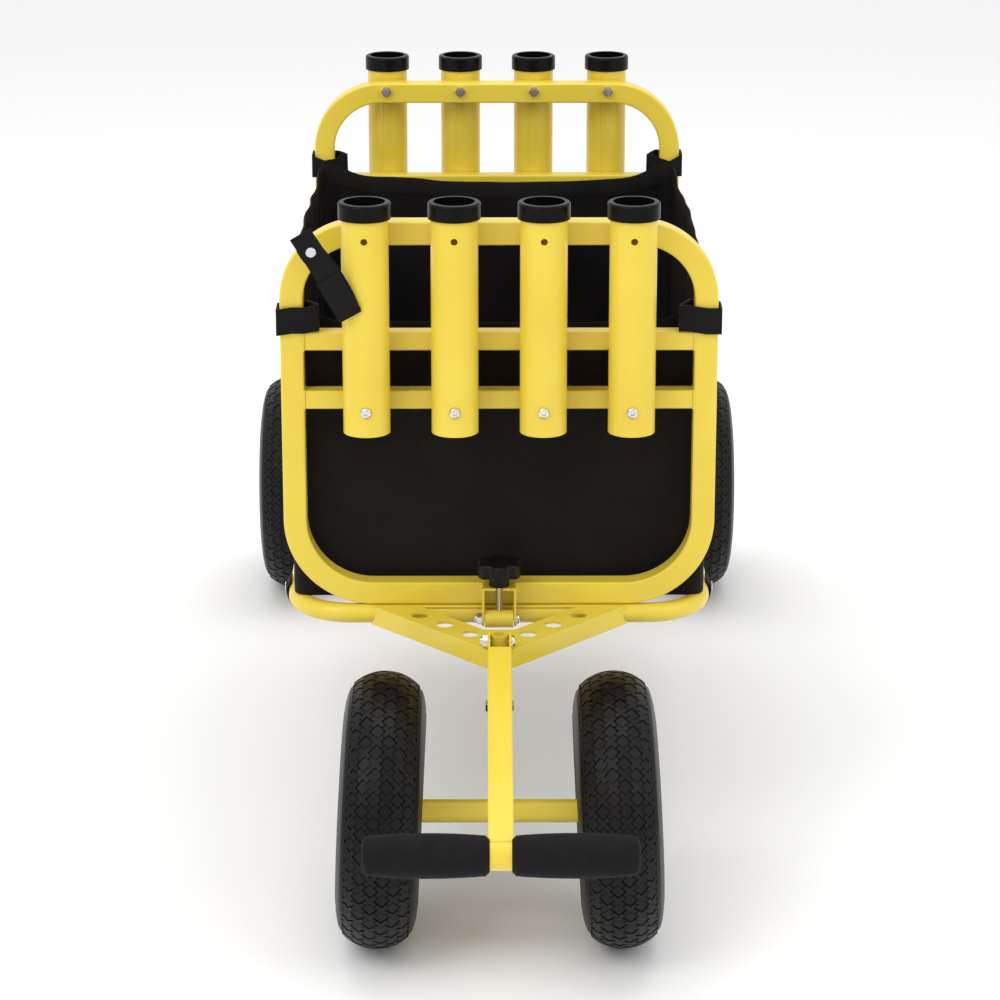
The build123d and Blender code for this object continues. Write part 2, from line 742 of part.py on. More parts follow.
def make_floor_snaps():
    snaps = []
    reach = ring_tube / 2 + fabric_clear + strap_thickness + 0.1
    for x, y in floor_strap_places():
        side = 1 if x > 0 else -1
        snap = Rot(0, side * 90, 0) * Cylinder(snap_diameter / 2, 1.5)
        snap = chamfer(snap.edges().filter_by(GeomType.CIRCLE), 0.6)
        snaps.append(Pos(x + side * (reach + 0.75), y, ring_z) * snap)
    return snaps


def handle_strap_frame():
    y = rod_y - rod_diameter / 2 - running_clear - strap_thickness / 2
    return Pos(handle_strap_x, y, handle_strap_z) * Rot(0, -handle_strap_lean, 0)


def make_handle_strap():
    strap = Box(handle_strap_width, strap_thickness, handle_strap_length)
    strap = fillet(strap.edges().filter_by(Axis.Y), 3)
    return handle_strap_frame() * strap


def make_handle_snap():
    snap = Rot(90, 0, 0) * Cylinder(snap_diameter / 2, 1.5)
    snap = chamfer(snap.edges().filter_by(GeomType.CIRCLE), 0.6)
    place = Pos(0, -strap_thickness / 2 - 0.85, handle_strap_length / 2 - handle_snap_drop)
    return handle_strap_frame() * place * snap


def to_rear(shape):
    # the rear end of the basket mirrors the front end
    middle = Plane(origin=(0, hinge_tube_y / 2, 0), z_dir=(0, 1, 0))
    if isinstance(shape, (list, ShapeList)):
        return [piece.mirror(middle) for piece in shape]
    return shape.mirror(middle)


def add(name, pieces):
    if not isinstance(pieces, (list, ShapeList)):
        pieces = [pieces]
    nodes[name] = [solid for piece in pieces for solid in piece.solids()]


def add_chassis():
    add("chassis_ring", make_ring())
    add("floor_cross_tubes", make_cross_tubes())
    add("drawbar_plate", make_drawbar_plate())
    add("steering_sleeve", make_sleeve())
    knuckle = make_knuckle()
    add("hinge_knuckles", list(knuckle) + to_rear(list(knuckle)))
    add("axle_legs", make_axle_legs())
    add("rear_axle_tube", make_rear_axle_tube())
    add("rear_axle", make_rear_axle())
    add("rear_axle_nuts", make_axle_nuts(rear_hub))
    add("liner", make_liner())
    add("floor_straps", make_floor_straps())
    add("floor_strap_snaps", make_floor_snaps())


def add_end_frames():
    makers = {
        "frame_loop": make_frame_loop,
        "crossbars": make_crossbars,
        "hinge_bracket": make_bracket,
        "rod_tubes": make_rod_tubes,
        "rod_caps": make_rod_caps,
        "rod_bolts": make_rod_bolts,
        "frame_nuts": make_frame_nuts,
        "hinge_bolt": make_hinge_bolt,
        "post_straps": make_post_straps,
        "clamp_stud": make_stud,
        "star_knob": make_star_knob,
    }
    for name, maker in makers.items():
        pieces = maker()
        add("front_" + name, pieces)
        add("rear_" + name, to_rear(pieces))
    add("handle_strap", make_handle_strap())
    add("handle_strap_snap", make_handle_snap())


def add_steering():
    add("steering_post", make_post())
    add("steering_collar", make_collar())
    add("front_axle_tube", make_front_axle_tube())
    add("front_axle_stubs", make_stubs())
    add("front_axle_nuts", make_axle_nuts(front_hub))
    add("handle_tube", make_handle_tube())
    add("handle_crossbar", make_handle_crossbar())
    add("left_grip", make_grip(-1))
    add("right_grip", make_grip(1))
    add("pivot_bolt", make_pivot_bolt())
    add("pivot_nut", make_pivot_nut())


def add_wheels():
    tyre, halves, fittings = make_tyre(), make_rim_halves(), make_wheel_fittings()
    for end, hub in (("front", front_hub), ("rear", rear_hub)):
        for name, side in (("left", -1), ("right", 1)):
            wheel = f"{end}_{name}_"
            add(wheel + "tyre", hub(side) * tyre)
            add(wheel + "rim", [hub(side) * half for half in halves])
            add(wheel + "wheel_fittings", [hub(side) * piece for piece in fittings])


def main():
    add_chassis()
    add_end_frames()
    add_steering()
    add_wheels()
    os.makedirs("parts", exist_ok=True)
    centred = Pos(0, -y_middle, 0)
    for name, solids in nodes.items():
        export_step(Compound(children=[centred * solid for solid in solids]), f"parts/{name}.step")
    print(len(nodes), "nodes, y shift", round(-y_middle, 3))


main()
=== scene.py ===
import bpy
import json
import math
import random
from mathutils import Matrix, Vector, noise


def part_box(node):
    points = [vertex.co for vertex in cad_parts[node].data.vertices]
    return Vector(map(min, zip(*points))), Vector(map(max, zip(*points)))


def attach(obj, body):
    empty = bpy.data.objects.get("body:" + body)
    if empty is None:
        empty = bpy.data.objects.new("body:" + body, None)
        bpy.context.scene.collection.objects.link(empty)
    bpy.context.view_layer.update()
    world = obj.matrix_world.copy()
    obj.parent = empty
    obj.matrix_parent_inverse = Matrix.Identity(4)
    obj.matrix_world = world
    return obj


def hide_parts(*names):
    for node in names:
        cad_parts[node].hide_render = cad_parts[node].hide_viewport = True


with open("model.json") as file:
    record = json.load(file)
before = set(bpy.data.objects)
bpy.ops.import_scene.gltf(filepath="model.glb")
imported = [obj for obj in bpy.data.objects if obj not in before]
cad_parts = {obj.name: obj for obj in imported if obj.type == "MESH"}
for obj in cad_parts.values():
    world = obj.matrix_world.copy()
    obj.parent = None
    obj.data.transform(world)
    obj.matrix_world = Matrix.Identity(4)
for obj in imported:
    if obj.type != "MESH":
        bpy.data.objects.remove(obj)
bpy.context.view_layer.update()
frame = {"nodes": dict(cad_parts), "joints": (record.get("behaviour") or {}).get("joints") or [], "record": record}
nodes = frame["nodes"]
joints = {j["name"]: j for j in frame["joints"]}
random.seed(7)

camera = {"lens": 121, "pitch": 17.8, "turn": -0.205, "height": 1.370, "ahead": 2.914, "aside": -0.010}
studio = {"floor": 14, "floorColor": (0.94, 0.94, 0.94), "sky": 0.90, "key": 42, "fill": 15, "top": 40}


def clearSelection():
    if bpy.context.object and bpy.context.object.mode != "OBJECT":
        bpy.ops.object.mode_set(mode="OBJECT")
    bpy.ops.object.select_all(action="DESELECT")


def pick(obj):
    clearSelection()
    obj.select_set(True)
    bpy.context.view_layer.objects.active = obj
    return obj


def applyAll(obj):
    pick(obj)
    for modifier in list(obj.modifiers):
        bpy.ops.object.modifier_apply(modifier=modifier.name)
    return obj


def smooth(obj, degrees=40):
    pick(obj)
    bpy.ops.object.shade_smooth_by_angle(angle=math.radians(degrees))
    return obj


def named(name):
    obj = bpy.context.object
    obj.name = name
    obj.data.name = name
    return obj


def joinPieces(name, pieces):
    clearSelection()
    for piece in pieces:
        piece.select_set(True)
    bpy.context.view_layer.objects.active = pieces[0]
    bpy.ops.object.join()
    return named(name)


def setCamera():
    post = Vector(joints["steering_turn"]["pos_m"])
    bpy.ops.object.camera_add(
        location=(camera["aside"], post.y - camera["ahead"], camera["height"]),
        rotation=(math.radians(90 - camera["pitch"]), 0, math.radians(camera["turn"])),
    )
    cam = bpy.context.object
    cam.data.lens = camera["lens"]
    cam.data.sensor_width = 36
    cam.data.clip_end = 60
    bpy.context.scene.camera = cam
    bpy.context.scene.view_settings.view_transform = "Standard"


def setStudio():
    bpy.ops.mesh.primitive_plane_add(size=studio["floor"])
    floor = named("studioFloor")
    coat = bpy.data.materials.new("studioFloor")
    coat.use_nodes = True
    shader = coat.node_tree.nodes["Principled BSDF"]
    shader.inputs["Base Color"].default_value = (*studio["floorColor"], 1)
    shader.inputs["Roughness"].default_value = 0.9
    floor.data.materials.append(coat)
    world = bpy.data.worlds.new("studioSky")
    world.use_nodes = True
    world.node_tree.nodes["Background"].inputs["Color"].default_value = (1, 1, 1, 1)
    world.node_tree.nodes["Background"].inputs["Strength"].default_value = studio["sky"]
    bpy.context.scene.world = world
    lamps = {
        "keyLight": ((-1.9, -2.3, 3.0), 2.0, studio["key"]),
        "fillLight": ((2.4, -1.6, 2.2), 2.0, studio["fill"]),
        "topLight": ((0, 0.6, 3.4), 3.0, studio["top"]),
    }
    for name, (place, size, power) in lamps.items():
        bpy.ops.object.light_add(type="AREA", location=place)
        lamp = bpy.context.object
        lamp.name = name
        lamp.data.size = size
        lamp.data.energy = power
        lamp.rotation_euler = (Vector((0, 0, 0.4)) - Vector(place)).to_track_quat("-Z", "Y").to_euler()


def newFinish(name, values):
    finish = bpy.data.materials.new(name)
    finish.use_nodes = True
    shader = finish.node_tree.nodes["Principled BSDF"]
    for socket, value in values.items():
        shader.inputs[socket].default_value = value
    return finish, finish.node_tree.nodes, finish.node_tree.links, shader


def mottle(tree, links, shader, coords, scale, dark, light, spread=(0.35, 0.65)):
    # colour that drifts between two tones
    cloud = tree.new("ShaderNodeTexNoise")
    cloud.inputs["Scale"].default_value = scale
    cloud.inputs["Detail"].default_value = 4
    ramp = tree.new("ShaderNodeValToRGB")
    ramp.color_ramp.elements[0].position, ramp.color_ramp.elements[1].position = spread
    ramp.color_ramp.elements[0].color = (*dark, 1)
    ramp.color_ramp.elements[1].color = (*light, 1)
    links.new(coords, cloud.inputs["Vector"])
    links.new(cloud.outputs["Fac"], ramp.inputs["Fac"])
    links.new(ramp.outputs["Color"], shader.inputs["Base Color"])
    return cloud


def grain(tree, links, shader, height, strength, distance):
    bump = tree.new("ShaderNodeBump")
    bump.inputs["Strength"].default_value = strength
    bump.inputs["Distance"].default_value = distance
    links.new(height, bump.inputs["Height"])
    links.new(bump.outputs["Normal"], shader.inputs["Normal"])


def objectCoords(tree):
    return tree.new("ShaderNodeTexCoord").outputs["Object"]


def uvCoords(tree):
    return tree.new("ShaderNodeTexCoord").outputs["UV"]


def noiseNode(tree, links, coords, scale, detail=3):
    cloud = tree.new("ShaderNodeTexNoise")
    cloud.inputs["Scale"].default_value = scale
    cloud.inputs["Detail"].default_value = detail
    links.new(coords, cloud.inputs["Vector"])
    return cloud


def rangeNode(tree, links, value, low, high):
    remap = tree.new("ShaderNodeMapRange")
    remap.inputs["To Min"].default_value = low
    remap.inputs["To Max"].default_value = high
    links.new(value, remap.inputs["Value"])
    return remap.outputs["Result"]


def powderCoat():
    gloss = {"Coat Weight": 0.2, "Coat Roughness": 0.15, "Specular IOR Level": 0.3}
    finish, tree, links, shader = newFinish("powderCoatYellow", gloss)
    coords = objectCoords(tree)
    mottle(tree, links, shader, coords, 9, (0.735, 0.550, 0.048), (0.775, 0.602, 0.062))
    peel = noiseNode(tree, links, coords, 520, 2)
    grain(tree, links, shader, peel.outputs["Fac"], 0.10, 0.0004)
    smudge = noiseNode(tree, links, coords, 34, 5)
    links.new(rangeNode(tree, links, smudge.outputs["Fac"], 0.26, 0.42), shader.inputs["Roughness"])
    return finish


def zincPlate():
    finish, tree, links, shader = newFinish("zincPlate", {"Metallic": 1.0})
    coords = objectCoords(tree)
    mottle(tree, links, shader, coords, 90, (0.60, 0.60, 0.61), (0.72, 0.72, 0.70))
    fine = noiseNode(tree, links, coords, 900, 4)
    links.new(rangeNode(tree, links, fine.outputs["Fac"], 0.18, 0.30), shader.inputs["Roughness"])
    grain(tree, links, shader, fine.outputs["Fac"], 0.05, 0.0001)
    return finish


def tyreRubber():
    finish, tree, links, shader = newFinish("tyreRubber", {"Specular IOR Level": 0.17})
    coords = objectCoords(tree)
    mottle(tree, links, shader, coords, 22, (0.0042, 0.0038, 0.0042), (0.0085, 0.0072, 0.0068))
    fine = noiseNode(tree, links, coords, 1100, 4)
    links.new(rangeNode(tree, links, fine.outputs["Fac"], 0.30, 0.50), shader.inputs["Roughness"])
    grain(tree, links, shader, fine.outputs["Fac"], 0.25, 0.0003)
    return finish


def capRubber():
    finish, tree, links, shader = newFinish("capRubber", {"Specular IOR Level": 0.11})
    coords = objectCoords(tree)
    mottle(tree, links, shader, coords, 60, (0.0022, 0.0022, 0.0025), (0.0036, 0.0035, 0.0038))
    fine = noiseNode(tree, links, coords, 260, 4)
    links.new(rangeNode(tree, links, fine.outputs["Fac"], 0.22, 0.38), shader.inputs["Roughness"])
    grain(tree, links, shader, fine.outputs["Fac"], 0.08, 0.0004)
    return finish


def foamSkin():
    finish, tree, links, shader = newFinish("foamGrip", {"Specular IOR Level": 0.15})
    coords = objectCoords(tree)
    mottle(tree, links, shader, coords, 90, (0.0072, 0.0062, 0.0072), (0.0092, 0.0080, 0.0090))
    cells = tree.new("ShaderNodeTexVoronoi")
    cells.inputs["Scale"].default_value = 1300
    links.new(coords, cells.inputs["Vector"])
    links.new(rangeNode(tree, links, cells.outputs["Distance"], 0.70, 0.92), shader.inputs["Roughness"])
    grain(tree, links, shader, cells.outputs["Distance"], 0.5, 0.0005)
    return finish


def knobPlastic():
    finish, tree, links, shader = newFinish("knobPlastic", {"Specular IOR Level": 0.2})
    coords = objectCoords(tree)
    mottle(tree, links, shader, coords, 120, (0.0042, 0.0038, 0.0036), (0.0066, 0.0060, 0.0056))
    spark = noiseNode(tree, links, coords, 1500, 2)
    links.new(rangeNode(tree, links, spark.outputs["Fac"], 0.34, 0.5), shader.inputs["Roughness"])
    grain(tree, links, shader, spark.outputs["Fac"], 0.3, 0.0003)
    return finish


def weave(name, dark, light, threads, sheen, bumpSize, coordsOf, rough=(0.55, 0.8)):
    # warp and weft from two crossed waves
    nap = {"Sheen Weight": sheen, "Sheen Roughness": 0.5, "Specular IOR Level": 0.12}
    finish, tree, links, shader = newFinish(name, nap)
    coords = coordsOf(tree)
    cloud = mottle(tree, links, shader, coords, 14, dark, light)
    waves = []
    for direction in threads["directions"]:
        wave = tree.new("ShaderNodeTexWave")
        wave.bands_direction = direction
        wave.inputs["Scale"].default_value = threads["scale"]
        wave.inputs["Distortion"].default_value = threads["distortion"]
        links.new(coords, wave.inputs["Vector"])
        waves.append(wave.outputs["Fac"])
    cross = tree.new("ShaderNodeMath")
    cross.operation = "MAXIMUM"
    links.new(waves[0], cross.inputs[0])
    links.new(waves[1], cross.inputs[1])
    grain(tree, links, shader, cross.outputs["Value"], 0.6, bumpSize)
    links.new(rangeNode(tree, links, cloud.outputs["Fac"], *rough), shader.inputs["Roughness"])
    return finish


def makeFinishes():
    cloth = {"directions": ("DIAGONAL", "Z"), "scale": 260, "distortion": 0.6}
    ribs = {"directions": ("X", "Y"), "scale": 1.0, "distortion": 0.2}
    return {
        "yellow": powderCoat(),
        "zinc": zincPlate(),
        "tyre": tyreRubber(),
        "cap_rubber": capRubber(),
        "foam": foamSkin(),
        "knob_plastic": knobPlastic(),
        "liner_fabric": weave(
            "linerPolyester", (0.0045, 0.0035, 0.0035), (0.0085, 0.0065, 0.006), cloth, 0.01, 0.0003,
            objectCoords,
        ),
        "webbing": weave(
            "strapWebbing", (0.005, 0.005, 0.006), (0.010, 0.0095, 0.010), ribs, 0.02, 0.0003, uvCoords
        ),
    }


def paintFrame(finishes):
    slots = {part["node"]: part["material_slot"] for part in frame["record"]["subparts"]}
    for name, obj in nodes.items():
        obj.data.materials.clear()
        obj.data.materials.append(finishes[slots[name]])


def dress(obj, finishes, slotName, body):
    if not obj.data.materials:
        obj.data.materials.append(finishes[slotName])
    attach(obj, body)
    return obj


# radii and distances across in metres; walls and bead run from the shoulder in to the rim
tyre = {
    "radius": 0.130, "crown": 0.044, "turn": 44.8, "groove": 0.0020, "fade": (0.0345, 0.0400), "steps": 144,
    "wall": [
        (0.1125, 0.0338), (0.1070, 0.0357), (0.1000, 0.0373), (0.0920, 0.0379), (0.0840, 0.0375),
        (0.0760, 0.0359), (0.0680, 0.0327), (0.0620, 0.0289), (0.0577, 0.0251),
    ],
    "bead": [(0.0560, 0.0250), (0.0545, 0.0248), (0.0531, 0.0230)],
    "pitch": 37, "gap": 0.0009, "arm": 0.0054, "low": 0.0014, "ribs": 74,
    "rib": [(0, 0.0352), (0.0032, 0.0352), (0.0085, 0.0560), (0.0060, 0.0560)],
    "ribLift": 0.6, "ribFade": 0.15, "ribSink": 0.0004, "bands": [(0.062, 0.0635), (0.082, 0.0832)],
    "bandLift": 0.0007, "line": [(-0.0006, -0.0004), (0.0001, 0), (-0.0006, 0.0004)],
}


def tyreLine():
    # the outer surface from crown to bead, as (distance, radius, across)
    line = []
    for k in range(17):
        turn = math.radians(tyre["turn"]) * k / 16
        line.append((tyre["radius"] - tyre["crown"] * (1 - math.cos(turn)), tyre["crown"] * math.sin(turn)))
    line += tyre["wall"]
    far = [0.0]
    for before, after in zip(line, line[1:]):
        far.append(far[-1] + math.dist(before, after))
    return [(d, *point) for d, point in zip(far, line)]


def onTyre(along, reach, lift):
    # a place on the tyre: along its circle, out over its shoulder, and up from the groove's floor
    line = tyreLine()
    side = math.copysign(1, reach)
    reach = min(abs(reach), line[-1][0] - 1e-6)
    k = max(i for i in range(len(line) - 1) if line[i][0] <= reach)
    (d0, r0, a0), (d1, r1, a1) = line[k], line[k + 1]
    share = (reach - d0) / (d1 - d0)
    out = Vector((a1 - a0, r0 - r1)).normalized()
    start, end = tyre["fade"]
    deep = tyre["groove"] * (1 - min(1, max(0, (reach - start) / (end - start))))
    radius = r0 + (r1 - r0) * share + out.x * (lift - deep)
    across = a0 + (a1 - a0) * share + out.y * (lift - deep)
    angle = along / tyre["radius"]
    return Vector((radius * math.cos(angle), radius * math.sin(angle), side * across))


def spinProfile(name, points, steps):
    # an outline in radius and across, spun round the Z axle
    shell = bpy.data.meshes.new(name)
    edges = [(k, k + 1) for k in range(len(points) - 1)]
    shell.from_pydata([(radius, 0, across) for radius, across in points], edges, [])
    obj = bpy.data.objects.new(name, shell)
    bpy.context.collection.objects.link(obj)
    pick(obj)
    bpy.ops.object.mode_set(mode="EDIT")
    bpy.ops.mesh.select_all(action="SELECT")
    bpy.ops.mesh.spin(steps=steps, angle=2 * math.pi, center=(0, 0, 0), axis=(0, 0, 1))
    bpy.ops.mesh.select_all(action="SELECT")
    bpy.ops.mesh.remove_doubles(threshold=1e-5)
    bpy.ops.mesh.normals_make_consistent(inside=False)
    bpy.ops.object.mode_set(mode="OBJECT")
    return obj


def carcassOutline():
    total = tyreLine()[-1][0]
    half = []
    for k in range(61):
        reach = total * k / 60
        band = any(low <= reach <= high for low, high in tyre["bands"])
        place = onTyre(0, reach, tyre["bandLift"] if band else 0)
        half.append((place.x, place.z))
    half += tyre["bead"]
    return [(radius, -across) for radius, across in reversed(half[1:])] + half


def turned(corners):
    eighth = Matrix.Rotation(math.pi / 4, 2)
    return [eighth @ Vector(corner) for corner in corners]


def crossOutline(size, arm):
    # a plus whose arms reach for the diagonals
    corners = []
    for quarter in range(4):
        spin = Matrix.Rotation(-math.pi / 2 * quarter, 2)
        corners += [spin @ Vector(corner) for corner in ((arm, size), (arm, arm), (size, arm), (size, -arm))]
    return turned(corners)


def treadBlock(outline, place, tall=tyre["groove"]):
    block = bpy.data.meshes.new("treadBlock")
    block.from_pydata([(p.x + place[0], p.y + place[1], 0) for p in outline], [], [list(range(len(outline)))])
    obj = bpy.data.objects.new("treadBlock", block)
    bpy.context.collection.objects.link(obj)
    pick(obj)
    bpy.ops.object.mode_set(mode="EDIT")
    bpy.ops.mesh.select_all(action="SELECT")
    bpy.ops.mesh.extrude_region_move(TRANSFORM_OT_translate={"value": (0, 0, tall)})
    bpy.ops.mesh.select_all(action="SELECT")
    bpy.ops.mesh.normals_make_consistent(inside=False)
    bpy.ops.object.mode_set(mode="OBJECT")
    return obj


def treadStrip():
    # one pitch of the tread laid flat: x round the tyre, y out over its shoulder
    pitch = 2 * math.pi * tyre["radius"] / tyre["pitch"]
    diagonal = pitch / math.sqrt(2)
    cross = crossOutline(diagonal / 2 - tyre["gap"] / 2, tyre["arm"] / 2 - tyre["gap"] / 2)
    half = (diagonal - tyre["arm"] - tyre["gap"]) / 2
    lozenge = turned([(-half, half), (half, half), (half, -half), (-half, -half)])
    blocks = []
    for column in range(-3, 3):
        reach = (column + 0.5) * pitch / 2
        shift = pitch / 2 if column % 2 else 0
        blocks.append(treadBlock(cross, (shift, reach)))
        blocks.append(treadBlock(lozenge, (shift + pitch / 2, reach), tyre["low"]))
    for side in (-1, 1):
        for k in range(tyre["ribs"] // tyre["pitch"]):
            x = k * pitch * tyre["pitch"] / tyre["ribs"]
            blocks.append(treadBlock([Vector((x + a, side * b)) for a, b in tyre["rib"]], (0, 0)))
    strip = joinPieces("treadStrip", blocks)
    array = strip.modifiers.new("around", "ARRAY")
    array.use_relative_offset = False
    array.use_constant_offset = True
    array.constant_offset_displace = (pitch, 0, 0)
    array.count = tyre["pitch"]
    return applyAll(strip)


def wrapTread(strip):
    for vertex in strip.data.vertices:
        along, reach, lift = vertex.co
        if abs(reach) > 0.035:
            lift *= tyre["ribLift"] if abs(reach) < 0.05 else tyre["ribFade"]
            lift -= tyre["ribSink"] if vertex.co.z < 1e-6 else 0
        vertex.co = onTyre(along, reach, lift)
    pick(strip)
    bpy.ops.object.mode_set(mode="EDIT")
    bpy.ops.mesh.select_all(action="SELECT")
    bpy.ops.mesh.normals_make_consistent(inside=False)
    bpy.ops.object.mode_set(mode="OBJECT")
    return strip


def modelTyre():
    carcass = spinProfile("carcass", carcassOutline(), tyre["steps"])
    line = spinProfile("mouldLine", [(tyre["radius"] + up, across) for up, across in tyre["line"]], tyre["steps"])
    return joinPieces("tyreMaster", [carcass, wrapTread(treadStrip()), line])


def wheelPlace(wheel):
    joint = joints[wheel + "_wheel_spin"]
    turn = Vector((0, 0, 1)).rotation_difference(Vector(joint["axis"])).to_matrix().to_4x4()
    return Matrix.Translation(joint["pos_m"]) @ turn


def addTyres(finishes):
    master = modelTyre()
    for wheel in ("front_left", "front_right", "rear_left", "rear_right"):
        piece = bpy.data.objects.new(wheel + "TreadedTyre", master.data.copy())
        bpy.context.collection.objects.link(piece)
        piece.data.transform(wheelPlace(wheel))
        smooth(piece, 28)
        dress(piece, finishes, "tyre", wheel + "_wheel")
        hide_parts(wheel + "_tyre")
    bpy.data.objects.remove(master)
    print("tyres treaded")


liner = {
    "wall": 0.0011, "grid": 0.007, "corner": 0.014, "sideBulge": 0.013, "sideSag": 0.022, "rearSag": 0.009,
    "frontSag": 0.003, "cornerRise": 0.010, "hem": 0.018, "fold": 0.0026, "floorRings": 12,
}


def linerRing(low, high):
    # places round the liner's rounded outline: (corner point, outward, side, share along the side)
    bend = liner["corner"]
    sides = [((low.x, low.y), (1, 0), high.x - low.x), ((high.x, low.y), (0, 1), high.y - low.y),
             ((high.x, high.y), (-1, 0), high.x - low.x), ((low.x, high.y), (0, -1), high.y - low.y)]
    ring = []
    for side, (start, way, length) in enumerate(sides):
        start, way = Vector((*start, 0)), Vector((*way, 0))
        out = Vector((way.y, -way.x, 0))
        count = int((length - 2 * bend) / liner["grid"])
        for k in range(count + 1):
            share = k / count
            ring.append((start + way * (bend + (length - 2 * bend) * share), out, side, share))
        hub = start + way * (length - bend) - out * bend
        for k in range(1, 4):
            turn = math.pi / 2 * k / 4
            lean = out * math.cos(turn) + way * math.sin(turn)
            ring.append((hub + lean * bend, lean, side, 1.0))
    return ring


def linerPoint(spot, up, low, high):
    # a place on the wall, up from the floor to the rim
    place, out, side, share = spot
    width = high.x - low.x
    towardRear = share if side == 1 else 1 - share
    if side in (1, 3):
        bulge = liner["sideBulge"] * math.sin(math.pi * towardRear**1.3) * up**0.8
        drop = liner["sideSag"] * math.sin(math.pi * towardRear**1.3) ** 1.5
    elif side == 2:
        bulge = -0.005 * math.sin(math.pi * share) * up
        step = 0.004 / (1 + math.exp(-(share - 0.72) * 60))
        drop = liner["rearSag"] * math.sin(math.pi * share) ** 0.7 - step * math.sin(math.pi * share)
    else:
        bulge = -0.004 * math.sin(math.pi * share) * up
        drop = liner["frontSag"] * math.sin(math.pi * share)
    ends = min(1.0, min(share, 1 - share) * 10)
    reach = min(share, 1 - share) * (width if side % 2 == 0 else high.y - low.y)
    rise = liner["cornerRise"] * math.exp(-((reach / 0.022) ** 2)) * up**4
    crease = noise.noise(Vector((place.x * 8, place.y * 8, up * 2.2))) * 2.2
    ruck = noise.noise(Vector((place.x * 30, place.y * 30, up * 3.1 + 5))) * 0.9
    pull = math.exp(-reach * 16) * math.sin(110 * reach + 6 * up) * 1.3
    off = bulge + (crease + ruck + pull) * liner["fold"] * ends * min(1, up * 2.5) * (0.35 + 0.65 * up)
    z = low.z + (high.z - low.z - drop) * up + rise
    return Vector((place.x, place.y, z)) + out * off


def addLiner(finishes, hem):
    low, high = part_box("liner")
    ring = linerRing(low, high)
    rows = int((high.z - low.z) / liner["grid"])
    count = len(ring)
    centre = (low + high) / 2
    points, faces = [], []
    for k in range(liner["floorRings"]):
        share = 0.12 + 0.88 * k / liner["floorRings"]
        for place, out, side, along in ring:
            spot = centre + (place - centre) * share
            lift = 0.0008 + 0.0022 * (0.5 + 0.5 * noise.noise(spot * 20))
            points.append((spot.x, spot.y, low.z + lift * min(1, (1 - share) * 6)))
    for row in range(rows + 1):
        points += [linerPoint(spot, row / rows, low, high) for spot in ring]
    faces.append(list(range(count)))
    for row in range(liner["floorRings"] + rows):
        for k in range(count):
            ahead = (k + 1) % count
            below, above = row * count, (row + 1) * count
            faces.append((below + k, below + ahead, above + ahead, above + k))
    shell = bpy.data.meshes.new("fabricLiner")
    shell.from_pydata(points, [], faces)
    piece = bpy.data.objects.new("fabricLiner", shell)
    bpy.context.collection.objects.link(piece)
    pick(piece)
    bpy.ops.object.mode_set(mode="EDIT")
    bpy.ops.mesh.select_all(action="SELECT")
    bpy.ops.mesh.normals_make_consistent(inside=False)
    bpy.ops.object.mode_set(mode="OBJECT")
    thick = piece.modifiers.new("cloth", "SOLIDIFY")
    thick.thickness = liner["wall"]
    thick.offset = 0
    applyAll(piece)
    smooth(piece, 50)
    dress(piece, finishes, "liner_fabric", "chassis")
    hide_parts("liner")
    print("liner hung")


def addHem(finishes):
    # the rim's folded tape, sewn over both faces of the liner's edge
    low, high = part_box("liner")
    ring = linerRing(low, high)
    skin = liner["wall"] / 2 + 0.0007
    points, faces = [], []
    for spot in ring:
        top = linerPoint(spot, 1, low, high)
        under = linerPoint(spot, 1 - liner["hem"] / (high.z - low.z), low, high)
        out = spot[1]
        points += [under + out * skin, top + out * skin, top + Vector((0, 0, skin))]
        points += [top - out * skin, under - out * skin]
    count = len(ring)
    for k in range(count):
        ahead = (k + 1) % count
        for j in range(4):
            faces.append((k * 5 + j, ahead * 5 + j, ahead * 5 + j + 1, k * 5 + j + 1))
    shell = bpy.data.meshes.new("linerHem")
    shell.from_pydata(points, [], faces)
    hem = bpy.data.objects.new("linerHem", shell)
    bpy.context.collection.objects.link(hem)
    pick(hem)
    bpy.ops.object.mode_set(mode="EDIT")
    bpy.ops.mesh.select_all(action="SELECT")
    bpy.ops.mesh.normals_make_consistent(inside=False)
    bpy.ops.object.mode_set(mode="OBJECT")
    tape = hem.modifiers.new("tape", "SOLIDIFY")
    tape.thickness = 0.0004
    applyAll(hem)
    smooth(hem, 50)
    dress(hem, finishes, "liner_fabric", "chassis")
    return hem


webbing = {"width": 0.025, "thick": 0.0017, "rib": 0.0011}


def strapAlong(name, path, across, closed=False, thick=webbing["thick"]):
    # a flat strip that follows path, with its width along the across vectors
    points, faces = [], []
    segments = 6
    for place, way in zip(path, across):
        for k in range(segments + 1):
            points.append(place + way * (k / segments - 0.5))
    rows = len(path)
    for k in range(rows if closed else rows - 1):
        ahead = (k + 1) % rows
        for j in range(segments):
            faces.append((k * (segments + 1) + j, ahead * (segments + 1) + j,
                          ahead * (segments + 1) + j + 1, k * (segments + 1) + j + 1))
    shell = bpy.data.meshes.new(name)
    shell.from_pydata(points, [], faces)
    strap = bpy.data.objects.new(name, shell)
    bpy.context.collection.objects.link(strap)
    layer = shell.uv_layers.new(name="webbingUv")
    travelled = [0.0]
    for k in range(1, rows):
        travelled.append(travelled[-1] + (path[k] - path[k - 1]).length)
    for face in shell.polygons:
        for loop in face.loop_indices:
            vertex = shell.loops[loop].vertex_index
            row, column = divmod(vertex, segments + 1)
            layer.data[loop].uv = (travelled[row] / webbing["rib"], column * 1.5)
    area = sum(face.area for face in shell.polygons)
    cloth = strap.modifiers.new("webbing", "SOLIDIFY")
    cloth.thickness = thick
    cloth.offset = 0
    edge = strap.modifiers.new("selvedge", "BEVEL")
    edge.width = 0.0004
    edge.segments = 2
    edge.limit_method = "ANGLE"
    applyAll(strap)
    smooth(strap, 40)
    return strap, area


